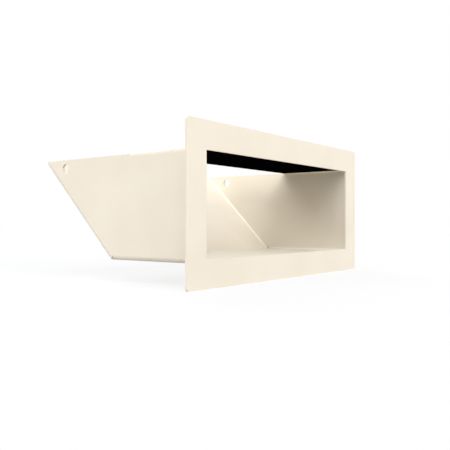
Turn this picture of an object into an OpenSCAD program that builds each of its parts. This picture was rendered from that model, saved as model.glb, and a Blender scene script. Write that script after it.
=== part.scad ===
// Slot grille for a warm air duct: a flat front plate with an oblong opening, and
// behind it a duct folded from one sheet. The duct has a floor, two side walls, a
// short roof, and a back that slopes up from the floor to two pointed ears, so that
// the air leaves upwards behind the roof.
// The origin is the centre of the front plate's back face. X runs along the opening,
// Y runs back into the wall and Z is up. Sizes are in millimetres.

/* [Front plate] */
// Width of the front plate
plate_w = 200; // [120:1:400]
// Height of the front plate
plate_h = 90; // [70:1:160]
// Thickness of the front plate
plate_t = 1.5; // [0.8:0.1:4]
// Radius of the front plate's outer corners
plate_corner_r = 1.5; // [0.5:0.1:8]
// How far the front plate stands out past the duct, all round
plate_overlap = 13.25; // [8:0.05:22]
// How far the opening stays inside the duct's inner faces, all round
opening_lip = 1.05; // [0.2:0.05:5]
// Radius of the opening's corners
opening_corner_r = 0.5; // [0.2:0.1:3]

/* [Duct sheet] */
// Thickness of the duct's sheet
sheet_t = 1.5; // [0.8:0.1:2.5]
// Inside radius of each bend
bend_r = 1.5; // [0.6:0.1:4]

/* [Duct lengths] */
// Depth of the roof behind the front plate
roof_depth = 53.5; // [30:0.5:100]
// Length of the floor behind the front plate, to its corner with the sloping back
floor_depth = 70.6; // [50:0.1:140]
// Angle of the sloping back above the floor's line
slope_angle = 45; // [35:1:65]
// How far the ears are cut back from their sharp points
tip_crop = 3.1; // [1:0.1:8]
// Radius of the cut ears' top corners
tip_r = 2; // [0.2:0.1:5]

/* [Fixing holes] */
// Diameter of the hole in each ear
hole_d = 6; // [3:0.1:9]
// Height of the ear's top edge above the hole's centre
hole_drop = 5.5; // [4:0.1:20]
// Distance of the hole's centre in front of the ear's point
hole_setback = 21.4; // [17:0.1:60]

/* [Bend details] */
// Diameter of the round relief through each side bend, in front of the sloping back
relief_d = 2; // [1:0.1:4]
// Distance of the joint in the roof's bends behind the front plate
joint_setback = 20.5; // [5:0.5:29]
// Width of the joint's hairline groove
joint_w = 0.4; // [0.2:0.1:1]
// Depth of the joint's hairline groove
joint_depth = 0.3; // [0.1:0.05:0.6]

/* [Hidden] */
$fn = 96;
coat = [0.96, 0.925, 0.86];
duct_w = plate_w - 2 * plate_overlap;
duct_h = plate_h - 2 * plate_overlap;
opening_w = duct_w - 2 * (sheet_t + opening_lip);
opening_h = duct_h - 2 * (sheet_t + opening_lip);
outer_bend_r = bend_r + sheet_t;
floor_z = -duct_h / 2;
roof_z = duct_h / 2;
ear_z = roof_z - sheet_t;
tip_y = back_y(0, ear_z);
crop_y = tip_y - tip_crop;
// Length by which a cut runs past the solid that it cuts
over = 10;
// How far the floor's rear bend stands past its two flats, so that they cross it
crossing = 0.002;
reach = 2 * (tip_y + duct_h + over);

// Depth of the sloping back at a height, on the face that lies inset mm into the sheet
function back_y(inset, z) = floor_depth + (z - floor_z) / tan(slope_angle) - inset / sin(slope_angle);

function unit(v) = v / norm(v);

// Directions from corner i of an outline to the corner before it and the one after it
function to_last(pts, i) = unit(pts[(i + len(pts) - 1) % len(pts)] - pts[i]);
function to_next(pts, i) = unit(pts[(i + 1) % len(pts)] - pts[i]);
function half_angle(pts, i) = acos(to_last(pts, i) * to_next(pts, i)) / 2;

// Where the straight sides end at corner i, so that an arc of radius r fits between
function side_ends(pts, i, r) =
    r == 0 ? [pts[i]] :
    let (run = r / tan(half_angle(pts, i)))
    [pts[i] + run * to_last(pts, i), pts[i] + run * to_next(pts, i)];

function arc_centre(pts, i, r) =
    pts[i] + r / sin(half_angle(pts, i)) * unit(to_last(pts, i) + to_next(pts, i));

// Flat outline through pts, with a true arc of radius radii[i] at each convex corner
module rounded_outline(pts, radii) {
    corners = [0 : len(pts) - 1];
    polygon([for (i = corners) each side_ends(pts, i, radii[i])]);
    for (i = corners)
        if (radii[i] > 0)
            translate(arc_centre(pts, i, radii[i]))
                circle(r = radii[i]);
}

// Corners of an oblong w wide, from height low to height high
function oblong(w, low, high) = [[-w / 2, low], [w / 2, low], [w / 2, high], [-w / 2, high]];

// Sweeps a flat outline drawn in X and Z along Y
module along_y(from, to) {
    translate([0, to, 0])
        rotate([90, 0, 0])
            linear_extrude(height = to - from)
                children();
}

// Sweeps a flat outline drawn in Y and Z along X, to both sides
module along_x(w) {
    rotate([90, 0, 90])
        linear_extrude(height = w, center = true)
            children();
}

// Closed section of the duct under its roof, inset mm into the sheet
module roofed_section(inset) {
    r = outer_bend_r - inset;
    rounded_outline(oblong(duct_w - 2 * inset, floor_z + inset, roof_z - inset), [r, r, r, r]);
}

// Space in front of the sloping back, with the bends between it and the side walls
module before_back(inset) {
    r = outer_bend_r - inset;
    translate([0, floor_depth, floor_z])
        rotate([slope_angle, 0, 0])
            along_y(-reach, reach)
                rounded_outline(oblong(duct_w - 2 * inset, inset, reach), [r, r, 0, 0]);
}

// What the bend between the floor and the sloping back leaves of their sharp corner
module rear_bend_cut(inset) {
    r = outer_bend_r - inset;
    z = floor_z + outer_bend_r;
    centre = [back_y(outer_bend_r, z), z];
    middle = slope_angle / 2 - 90;
    flare = tan(slope_angle / 2);
    along_x(duct_w + over)
        translate(centre + crossing * [cos(middle), sin(middle)])
            rotate(middle)
                difference() {
                    polygon([[0, 0], [2 * r, -2 * r * flare], [2 * r, 2 * r * flare]]);
                    circle(r = r);
                }
}

// Side view of the duct's top edge: the roof, then the ears and their cut points
module top_trim() {
    low = floor_z - over;
    high = roof_z + over;
    side = [
        [-over, low], [crop_y, low], [crop_y, ear_z],
        [roof_depth, ear_z], [roof_depth, high], [-over, high]
    ];
    along_x(duct_w + over)
        rounded_outline(side, [0, 0, tip_r, 0, 0, 0]);
}

// Outer skin of the folded sheet, as a solid
module duct_outside() {
    difference() {
        intersection() {
            union() {
                along_y(0, reach)
                    roofed_section(0);
                along_y(roof_depth, reach)
                    polygon(oblong(duct_w, 0, roof_z));
            }
            before_back(0);
            top_trim();
        }
        rear_bend_cut(0);
    }
}

// Air space inside the folded sheet, which runs past its open front and top
module duct_inside() {
    difference() {
        intersection() {
            union() {
                along_y(-over, reach)
                    roofed_section(sheet_t);
                along_y(roof_depth, reach)
                    polygon(oblong(duct_w - 2 * sheet_t, 0, roof_z + over));
            }
            before_back(sheet_t);
        }
        rear_bend_cut(sheet_t);
    }
}

// Round relief through the bend between the floor and one side wall, on the side that
// hand gives, just in front of the bend between the floor and the sloping back
module corner_relief(hand) {
    z = floor_z + outer_bend_r;
    translate([hand * (duct_w / 2 - outer_bend_r), back_y(outer_bend_r, z) - relief_d / 2, z])
        rotate([0, hand * 135, 0])
            cylinder(d = relief_d, h = 2 * outer_bend_r);
}

// Bore through both ears
module ear_bore() {
    translate([0, tip_y - hole_setback, ear_z - hole_drop])
        rotate([0, 90, 0])
            cylinder(d = hole_d, h = duct_w + over, center = true);
}

// Hairline groove round the roof's bends, where the front part of the fold ends
module bend_joint() {
    along_y(joint_setback - joint_w / 2, joint_setback + joint_w / 2)
        difference() {
            for (hand = [-1, 1])
                translate([hand * duct_w / 2, roof_z])
                    square(2 * outer_bend_r, center = true);
            translate([0, -over])
                square([duct_w + over, 2 * over], center = true);
            roofed_section(joint_depth);
        }
}

module front_plate() {
    color(coat)
        along_y(-plate_t, 0)
            difference() {
                rounded_outline(oblong(plate_w, -plate_h / 2, plate_h / 2), [for (i = [1 : 4]) plate_corner_r]);
                rounded_outline(oblong(opening_w, -opening_h / 2, opening_h / 2), [for (i = [1 : 4]) opening_corner_r]);
            }
}

module duct_body() {
    color(coat)
        difference() {
            duct_outside();
            duct_inside();
            corner_relief(-1);
            corner_relief(1);
            ear_bore();
            bend_joint();
        }
}

front_plate();
duct_body();
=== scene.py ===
"""Dresses the slot grille's two sheet-metal solids and lights them in a plain studio.

The grille is a flat front plate with an oblong opening, and behind it a duct folded
from one sheet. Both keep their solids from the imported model. This script gives them
their coatings, and adds the floor, the lamps and the camera.
"""

import logging
import math
from dataclasses import dataclass
from enum import Enum

import bpy
import numpy as np
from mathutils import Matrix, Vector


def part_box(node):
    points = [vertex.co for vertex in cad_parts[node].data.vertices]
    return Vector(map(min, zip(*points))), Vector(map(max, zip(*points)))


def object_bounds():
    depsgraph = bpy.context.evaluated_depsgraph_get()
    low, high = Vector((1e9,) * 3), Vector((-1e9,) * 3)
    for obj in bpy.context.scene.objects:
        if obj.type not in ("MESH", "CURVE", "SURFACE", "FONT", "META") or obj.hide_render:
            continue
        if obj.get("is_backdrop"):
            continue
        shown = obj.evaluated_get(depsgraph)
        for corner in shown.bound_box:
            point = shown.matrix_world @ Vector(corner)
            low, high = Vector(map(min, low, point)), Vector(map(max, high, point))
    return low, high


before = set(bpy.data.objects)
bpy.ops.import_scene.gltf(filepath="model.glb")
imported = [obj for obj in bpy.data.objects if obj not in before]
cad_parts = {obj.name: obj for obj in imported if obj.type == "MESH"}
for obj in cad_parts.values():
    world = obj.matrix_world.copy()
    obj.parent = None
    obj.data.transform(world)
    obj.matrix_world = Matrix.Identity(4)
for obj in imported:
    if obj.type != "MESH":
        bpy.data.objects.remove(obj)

logging.basicConfig(level=logging.INFO, format="%(message)s")
log = logging.getLogger("grille")

Pair = tuple[float, float]
Vec3 = tuple[float, float, float]
Paint = tuple[float, float, float, float]
Socket = bpy.types.NodeSocket

WHITE: Paint = (1.0, 1.0, 1.0, 1.0)
# From nothing to all of a second colour or shader
NONE_TO_ALL: Pair = (0.0, 1.0)
# Levels between which a noise pattern spends most of its area
NOISE_SPAN: Pair = (0.3, 0.7)


class Relief(Enum):
    """Kinds of fine relief that a coating dries with, each by its finer layers."""

    ORANGE_PEEL = 2.0
    GRIT = 4.0


def linear(srgb: Vec3 | np.ndarray) -> Paint:
    """Turns a display colour into the scene's linear light.

    Args:
        srgb: Red, green and blue as a display shows them, from 0 to 1.

    Returns:
        Linear red, green and blue, with an alpha of 1.
    """
    c = np.clip(np.asarray(srgb, dtype=float), 0.0, 1.0)
    low, high = c / 12.92, ((c + 0.055) / 1.055) ** 2.4
    r, g, b = np.where(c <= 0.04045, low, high).tolist()
    return (r, g, b, 1.0)


class Board:
    """A material's or a world's node tree, with short calls to fill it."""

    def __init__(self, owner: bpy.types.Material | bpy.types.World) -> None:
        """Clears the tree and gives it its output.

        Args:
            owner: The material or world that the tree belongs to.
        """
        self.owner = owner
        owner.use_nodes = True
        self.tree = owner.node_tree
        self.tree.nodes.clear()
        kind = "World" if isinstance(owner, bpy.types.World) else "Material"
        self.output = self.add(f"ShaderNodeOutput{kind}")

    def add(self, kind: str, **settings: object) -> bpy.types.Node:
        """Adds a node.

        Args:
            kind: The node's Blender type.
            **settings: Properties of the node to set.

        Returns:
            The new node.
        """
        node = self.tree.nodes.new(kind)
        for key, value in settings.items():
            setattr(node, key, value)
        return node

    def feed(self, socket: Socket, term: float | Paint | Socket) -> None:
        """Feeds an input socket.

        Args:
            socket: The input socket.
            term: An output socket to link to it, or the value that it holds.
        """
        if isinstance(term, Socket):
            self.tree.links.new(term, socket)
        else:
            socket.default_value = term

    def show(self, shader: Socket) -> None:
        """Makes a shader the tree's surface."""
        self.feed(self.output.inputs["Surface"], shader)

    def place(self) -> Socket:
        """Gives the object's own coordinates, in metres."""
        return self.add("ShaderNodeTexCoord").outputs["Object"]

    def split(self, place: Socket) -> tuple[Socket, Socket, Socket]:
        """Splits coordinates into X, Y and Z."""
        node = self.add("ShaderNodeSeparateXYZ")
        self.feed(node.inputs["Vector"], place)
        x, y, z = node.outputs
        return x, y, z

    def math(self, operation: str, *terms: float | Socket) -> Socket:
        """Adds one step of arithmetic.

        Args:
            operation: The Math node's operation.
            *terms: Its inputs, each a number or an output socket.

        Returns:
            The step's output socket.
        """
        node = self.add("ShaderNodeMath", operation=operation)
        for socket, term in zip(node.inputs, terms):
            self.feed(socket, term)
        return node.outputs[0]

    def ramp(self, value: Socket, span: Pair, to: Pair) -> Socket:
        """Maps a value smoothly from one span to another, held at both ends.

        Args:
            value: The value to map.
            span: Its lowest and highest level.
            to: What those two levels become.

        Returns:
            The mapped value's socket.
        """
        node = self.add("ShaderNodeMapRange", interpolation_type="SMOOTHSTEP")
        self.feed(node.inputs["Value"], value)
        names = ("From Min", "From Max", "To Min", "To Max")
        for name, number in zip(names, (*span, *to)):
            self.feed(node.inputs[name], number)
        return node.outputs["Result"]

    def noise(self, place: Socket, pitch: float, detail: float) -> Socket:
        """Adds a cloudy pattern.

        Args:
            place: The coordinates that the pattern reads, in metres.
            pitch: Size of one cloud, in metres.
            detail: How many finer layers it has.

        Returns:
            The pattern's level, about 0.5 on average.
        """
        node = self.add("ShaderNodeTexNoise")
        self.feed(node.inputs["Vector"], place)
        self.feed(node.inputs["Scale"], 1.0 / pitch)
        self.feed(node.inputs["Detail"], detail)
        self.feed(node.inputs["Roughness"], 0.5)
        return node.outputs["Fac"]

    def mix_colours(
        self, share: Socket, first: Paint | Socket, second: Paint | Socket
    ) -> Socket:
        """Mixes two colours.

        Args:
            share: How much of the second colour shows, from 0 to 1.
            first: The first colour, in linear light.
            second: The second colour, in linear light.

        Returns:
            The mixed colour's socket.
        """
        node = self.add("ShaderNodeMix", data_type="RGBA", blend_type="MIX")
        self.feed(node.inputs["Factor"], share)
        self.feed(node.inputs["A"], first)
        self.feed(node.inputs["B"], second)
        return node.outputs["Result"]

    def mix_shaders(self, share: Socket, first: Socket, second: Socket) -> Socket:
        """Mixes two shaders.

        Args:
            share: How much of the second shader shows, from 0 to 1.
            first: The first shader.
            second: The second shader.

        Returns:
            The mixed shader's socket.
        """
        node = self.add("ShaderNodeMixShader")
        for socket, term in zip(node.inputs, (share, first, second)):
            self.feed(socket, term)
        return node.outputs["Shader"]

    def plain_light(self, kind: str, strength: float) -> Socket:
        """Adds even white light.

        Args:
            kind: The Blender type of the shader that gives it.
            strength: Its strength, where 1 shows as white.

        Returns:
            The shader's output socket.
        """
        node = self.add(kind)
        self.feed(node.inputs["Color"], WHITE)
        self.feed(node.inputs["Strength"], strength)
        return node.outputs[0]

    def seen_rays(self) -> Socket:
        """Tells the rays of the camera, mirrors and glass, as 1, from the others."""
        rays = self.add("ShaderNodeLightPath").outputs
        seen = self.math("MAXIMUM", rays["Is Camera Ray"], rays["Is Glossy Ray"])
        return self.math("MAXIMUM", seen, rays["Is Transmission Ray"])


@dataclass(frozen=True)
class PowderCoat:
    """Baked powder coat on sheet steel: satin, with fine orange peel."""

    name: str
    colour: Vec3
    mottle: float = 0.012
    mottle_pitch: float = 0.045
    mottle_detail: float = 3.0
    thin_shift: Vec3 = (0.0, 0.002, 0.006)
    # Lighter colour painted along the duct's inner bends as a painted highlight
    thick_colour: Vec3 = (0.97, 0.942, 0.885)
    relief: Relief = Relief.ORANGE_PEEL
    peel_pitch: float = 0.0011
    peel_height: float = 0.000012
    roughness: float = 0.38
    roughness_drift: float = 0.04
    shine: float = 0.4

    def shade(self, board: Board, place: Socket, thick: Socket | None = None) -> Socket:
        """Builds the coat's shader.

        Args:
            board: The tree that it goes into.
            place: The object's own coordinates, in metres.
            thick: Where a painted highlight lightens the coat, from 0 to 1.

        Returns:
            The shader's output socket.
        """
        cloud = board.noise(place, self.mottle_pitch, self.mottle_detail)
        peel = board.noise(place, self.peel_pitch, self.relief.value)
        colour = np.asarray(self.colour)
        thin = colour * (1.0 - self.mottle) - np.asarray(self.thin_shift)
        full = colour * (1.0 + self.mottle / 2)
        share = board.ramp(cloud, NOISE_SPAN, NONE_TO_ALL)
        tint = board.mix_colours(share, linear(thin), linear(full))
        # Painted highlight: the tint is lightened towards the highlight colour where the
        # mask is above 0
        if thick is not None:
            tint = board.mix_colours(thick, tint, linear(self.thick_colour))
        bump = board.add("ShaderNodeBump")
        board.feed(bump.inputs["Strength"], 1.0)
        board.feed(bump.inputs["Distance"], self.peel_height)
        board.feed(bump.inputs["Height"], peel)
        rough, smooth = (self.roughness + d * self.roughness_drift for d in (1, -1))
        coat = board.add("ShaderNodeBsdfPrincipled")
        board.feed(coat.inputs["Specular IOR Level"], self.shine)
        board.feed(coat.inputs["Base Color"], tint)
        gloss = board.ramp(peel, NOISE_SPAN, (rough, smooth))
        board.feed(coat.inputs["Roughness"], gloss)
        board.feed(coat.inputs["Normal"], bump.outputs["Normal"])
        return coat.outputs["BSDF"]


@dataclass(frozen=True)
class PaintedShadeBlack:
    """Deep matt black, used as painted shade, which gives back almost no light."""

    colour: Vec3 = (0.02, 0.02, 0.02)
    speck_share: float = 0.5
    speck_pitch: float = 0.0016
    speck_span: Pair = (0.35, 0.65)
    relief: Relief = Relief.GRIT
    roughness: float = 0.95

    def shade(self, board: Board, place: Socket) -> Socket:
        """Builds the paint's shader.

        Args:
            board: The tree that it goes into.
            place: The object's own coordinates, in metres.

        Returns:
            The shader's output socket.
        """
        grit = board.noise(place, self.speck_pitch, self.relief.value)
        speck = self.speck_share * np.asarray(self.colour)
        share = board.ramp(grit, self.speck_span, NONE_TO_ALL)
        tint = board.mix_colours(share, linear(self.colour), linear(speck))
        paint = board.add("ShaderNodeBsdfPrincipled")
        board.feed(paint.inputs["Specular IOR Level"], 0.0)
        board.feed(paint.inputs["Base Color"], tint)
        dull = board.ramp(grit, NOISE_SPAN, (self.roughness, 1.0))
        board.feed(paint.inputs["Roughness"], dull)
        return paint.outputs["BSDF"]


@dataclass(frozen=True)
class StudioWhite:
    """Floor that the camera sees as white paper, which still takes a soft shadow."""

    name: str
    colour: Vec3 = (0.70, 0.70, 0.70)
    seen_colour: Vec3 = (0.97, 0.97, 0.97)
    own_light: float = 0.85
    grain: float = 0.005
    grain_pitch: float = 0.4
    grain_detail: float = 1.0

    def dress(self) -> bpy.types.Material:
        """Builds the floor's material.

        Returns:
            The material: plain diffuse paper for the lamps' light, and mostly even
            white for the camera, mirrors and glass.
        """
        board = Board(bpy.data.materials.new(self.name))
        seen = board.seen_rays()
        cloud = board.noise(board.place(), self.grain_pitch, self.grain_detail)
        darker = (1.0 - self.grain) * np.asarray(self.seen_colour)
        white = board.mix_colours(cloud, linear(self.seen_colour), linear(darker))
        tint = board.mix_colours(seen, linear(self.colour), white)
        paper = board.add("ShaderNodeBsdfDiffuse")
        board.feed(paper.inputs["Color"], tint)
        glow = board.plain_light("ShaderNodeEmission", 1.0)
        share = board.math("MULTIPLY", seen, self.own_light)
        board.show(board.mix_shaders(share, paper.outputs["BSDF"], glow))
        return board.owner


def put_on(node: str, material: bpy.types.Material) -> bpy.types.Object:
    """Puts one material on all of a solid's material slots.

    Args:
        node: The solid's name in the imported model.
        material: The material.

    Returns:
        The solid's object.
    """
    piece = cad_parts[node]
    if not piece.material_slots:
        piece.data.materials.append(material)
    for slot in piece.material_slots:
        slot.material = material
    return piece


@dataclass
class FrontPlate:
    """The flat plate that covers the edge of the wall's cut-out."""

    coat: PowderCoat
    node: str = "front_plate"

    def dress(self) -> bpy.types.Object:
        """Gives the plate's solid its coat.

        Returns:
            The plate's object.
        """
        board = Board(bpy.data.materials.new(self.coat.name))
        board.show(self.coat.shade(board, board.place()))
        return put_on(self.node, board.owner)


@dataclass
class FoldedDuct:
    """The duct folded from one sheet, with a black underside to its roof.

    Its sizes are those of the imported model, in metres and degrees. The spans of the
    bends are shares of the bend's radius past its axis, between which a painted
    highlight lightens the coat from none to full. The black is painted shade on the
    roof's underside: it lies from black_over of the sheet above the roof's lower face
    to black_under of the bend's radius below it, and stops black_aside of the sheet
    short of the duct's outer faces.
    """

    coat: PowderCoat
    underside: PaintedShadeBlack
    node: str = "duct_body"
    sheet: float = 0.0015
    bend_radius: float = 0.0015
    floor_depth: float = 0.0706
    slope: float = 45.0
    side_bend_span: Pair = (0.0, 0.7)
    rear_bend_span: Pair = (0.72, 0.92)
    black_under: float = 0.08
    black_over: float = 0.1
    black_aside: float = 1.2

    def bend_highlight_mask(self, board: Board, place: Socket) -> Socket:
        """Finds the inner faces of the bends along the floor and the sloping back.

        Three distances say how far a point lies past a bend's axis: towards the side
        wall, the floor and the sloping back. On an inner bend two of them are above
        0, and they are largest together half-way round it. The sheet's mid-line, half
        a sheet past the bend's radius, parts its inner faces from its outer ones.

        Args:
            board: The tree that it goes into.
            place: The object's own coordinates, in metres.

        Returns:
            The painted highlight's mask, 1 half-way round a bend and 0 on the flats.
        """
        # The mask marks where a painted highlight lightens the coat along the inner bends.
        low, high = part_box(self.node)
        outer = self.sheet + self.bend_radius
        mid_line = self.bend_radius + self.sheet / 2
        x, y, z = board.split(place)
        to_wall = board.math("SUBTRACT", board.math("ABSOLUTE", x), high[0] - outer)
        to_floor = board.math("SUBTRACT", low[2] + outer, z)
        turn = math.radians(self.slope)
        deep = board.math("SUBTRACT", y, self.floor_depth)
        deep = board.math("MULTIPLY", deep, math.sin(turn))
        rise = board.math("SUBTRACT", z, low[2])
        rise = board.math("MULTIPLY", rise, math.cos(turn))
        to_back = board.math("ADD", board.math("SUBTRACT", deep, rise), outer)
        lower = board.math("MAXIMUM", to_floor, to_back)

        both = board.math("MINIMUM", to_wall, lower)
        span = tuple(share * self.bend_radius for share in self.side_bend_span)
        side_bend = board.ramp(both, span, NONE_TO_ALL)
        squares = (board.math("MULTIPLY", way, way) for way in (to_wall, lower))
        inside = board.math("LESS_THAN", board.math("ADD", *squares), mid_line**2)
        side_bend = board.math("MULTIPLY", side_bend, inside)

        both = board.math("MINIMUM", to_floor, to_back)
        span = tuple(share * self.bend_radius for share in self.rear_bend_span)
        rear_bend = board.ramp(both, span, NONE_TO_ALL)
        inside = board.math("LESS_THAN", lower, mid_line)
        rear_bend = board.math("MULTIPLY", rear_bend, inside)
        return board.math("MAXIMUM", side_bend, rear_bend)

    def painted_shade_mask(self, board: Board, place: Socket) -> Socket:
        """Finds the roof's underside by its place on the duct.

        Args:
            board: The tree that it goes into.
            place: The object's own coordinates, in metres.

        Returns:
            The mask's socket, 1 on the underside and 0 elsewhere.
        """
        # The roof's underside gets painted shade in black.
        low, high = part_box(self.node)
        face = high[2] - self.sheet
        lowest = face - self.black_under * self.bend_radius
        highest = face + self.black_over * self.sheet
        widest = high[0] - self.black_aside * self.sheet
        x, _, z = board.split(place)
        above = board.math("GREATER_THAN", z, lowest)
        below = board.math("LESS_THAN", z, highest)
        within = board.math("LESS_THAN", board.math("ABSOLUTE", x), widest)
        return board.math("MULTIPLY", board.math("MULTIPLY", above, below), within)

    def dress(self) -> bpy.types.Object:
        """Gives the duct's solid its coat and its black underside.

        Returns:
            The duct's object.
        """
        board = Board(bpy.data.materials.new(self.coat.name))
        place = board.place()
        # The coat takes a painted highlight along its inner bends.
        coat = self.coat.shade(board, place, self.bend_highlight_mask(board, place))
        # Painted shade: near-black stands in for the coat on the roof's underside.
        black = self.underside.shade(board, place)
        board.show(board.mix_shaders(self.painted_shade_mask(board, place), coat, black))
        return put_on(self.node, board.owner)


@dataclass(frozen=True)
class SoftLamp:
    """A wide studio lamp that stands so far off that it lights evenly.

    It shines from side degrees round from the front, counted towards the grille's
    left, and height degrees above the horizon. Its level is the light that it throws
    on a surface that faces it, and 1 shows a colour as it is. Its spread, in degrees,
    is how wide it looks from the grille.
    """

    name: str
    side: float
    height: float
    level: float
    spread: float = 40.0
    tint: Vec3 = (1.0, 1.0, 1.0)

    def hang(self) -> bpy.types.Object:
        """Hangs the lamp.

        Returns:
            The lamp's object.
        """
        data = bpy.data.lights.new(self.name, "SUN")
        data.angle = math.radians(self.spread)
        data.energy = math.pi * self.level
        data.color = self.tint
        lamp = bpy.data.objects.new(self.name, data)
        tilt, turn = math.radians(90.0 - self.height), -math.radians(self.side)
        lamp.rotation_euler = (tilt, 0.0, turn)
        bpy.context.scene.collection.objects.link(lamp)
        return lamp


@dataclass(frozen=True)
class LevelCamera:
    """The camera, which looks level.

    Its eye is in metres and its heading in degrees, from straight across the grille
    towards straight at it. The focal length, and how far the picture's middle lies
    under the horizon, are counted in points of a picture frame_points wide.
    """

    eye: Vec3 = (-0.33667, -0.20185, -0.01008)
    heading: float = 36.70
    frame_points: float = 450.0
    focal_points: float = 607.9
    horizon_points: float = 1.46
    sensor: float = 36.0
    clip: Pair = (0.01, 50.0)

    def place(self) -> bpy.types.Object:
        """Stands the camera where the picture was taken from.

        Returns:
            The camera's object.
        """
        data = bpy.data.cameras.new("camera")
        data.sensor_width = self.sensor
        data.lens = self.focal_points / self.frame_points * self.sensor
        data.shift_y = -self.horizon_points / self.frame_points
        data.clip_start, data.clip_end = self.clip
        data.dof.use_dof = False
        camera = bpy.data.objects.new("camera", data)
        camera.location = self.eye
        camera.rotation_euler = (math.pi / 2, 0.0, math.radians(self.heading - 90.0))
        bpy.context.scene.collection.objects.link(camera)
        bpy.context.scene.camera = camera
        return camera


@dataclass
class Studio:
    """The plain floor, the white behind the grille, the lamps and the camera."""

    paper: StudioWhite
    lamps: tuple[SoftLamp, ...]
    camera: LevelCamera
    floor_size: float = 8.0
    floor_cells: int = 8

    def lay_floor(self) -> bpy.types.Object:
        """Lays the floor under the grille's lowest edge.

        The floor is z = constant over a square grid of u and v, each from minus half
        to plus half of its size.

        Returns:
            The floor's object.
        """
        low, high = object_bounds()
        cells, row = self.floor_cells, self.floor_cells + 1
        line = np.linspace(-0.5, 0.5, row) * self.floor_size
        u, v = np.meshgrid(line, line, indexing="ij")
        points = np.stack([u, v, np.full_like(u, low[2])], axis=-1).reshape(-1, 3)
        i, j = np.meshgrid(np.arange(cells), np.arange(cells), indexing="ij")
        corner = (i * row + j).ravel()
        ring = [corner, corner + row, corner + row + 1, corner + 1]
        mesh = bpy.data.meshes.new("studio_floor")
        mesh.from_pydata(points.tolist(), [], np.stack(ring, axis=-1).tolist())
        mesh.materials.append(self.paper.dress())
        floor = bpy.data.objects.new("studio_floor", mesh)
        bpy.context.scene.collection.objects.link(floor)
        floor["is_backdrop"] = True
        return floor

    def hang_sky(self) -> bpy.types.World:
        """Shows plain white behind the grille, which throws no light of its own.

        Returns:
            The world.
        """
        world = bpy.data.worlds.new("studio_sky")
        bpy.context.scene.world = world
        board = Board(world)
        dark = board.plain_light("ShaderNodeBackground", 0.0)
        white = board.plain_light("ShaderNodeBackground", 1.0)
        board.show(board.mix_shaders(board.seen_rays(), dark, white))
        return world

    def set_up(self) -> None:
        """Lays the floor, hangs the sky and the lamps, and places the camera."""
        log.info("floor: %s", self.lay_floor().name)
        log.info("sky: %s", self.hang_sky().name)
        for lamp in self.lamps:
            log.info("lamp: %s", lamp.hang().name)
        log.info("camera: %s", self.camera.place().name)


def main() -> None:
    """Dresses the plate and the duct, and sets up the studio."""
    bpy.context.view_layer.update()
    cream = (0.93, 0.893, 0.826)
    plate = FrontPlate(PowderCoat("plate_coat", cream)).dress()
    log.info("front plate: %s", plate.name)
    # The duct's coat gets a painted highlight along its inner bends and painted shade in
    # black under its roof.
    duct = FoldedDuct(PowderCoat("duct_coat", cream), PaintedShadeBlack()).dress()
    log.info("folded duct: %s", duct.name)
    cool, warm = (0.96, 1.0, 1.045), (1.03, 1.0, 0.985)
    lamps = (
        SoftLamp("front_low_lamp", side=0, height=15, level=0.59, tint=warm),
        SoftLamp("front_left_lamp", side=30, height=30, level=0.125),
        SoftLamp("front_high_lamp", side=30, height=55, level=0.28, tint=cool),
        SoftLamp("left_low_lamp", side=90, height=4, level=0.335, spread=8, tint=warm),
        SoftLamp("left_high_lamp", side=60, height=45, level=0.26, tint=cool),
        SoftLamp("rear_left_lamp", side=120, height=45, level=0.255, tint=cool),
        SoftLamp("rear_right_lamp", side=-150, height=40, level=0.43),
    )
    Studio(StudioWhite("studio_paper"), lamps, LevelCamera()).set_up()
    bpy.context.scene.view_settings.view_transform = "Standard"


if __name__ == "__main__":
    main()
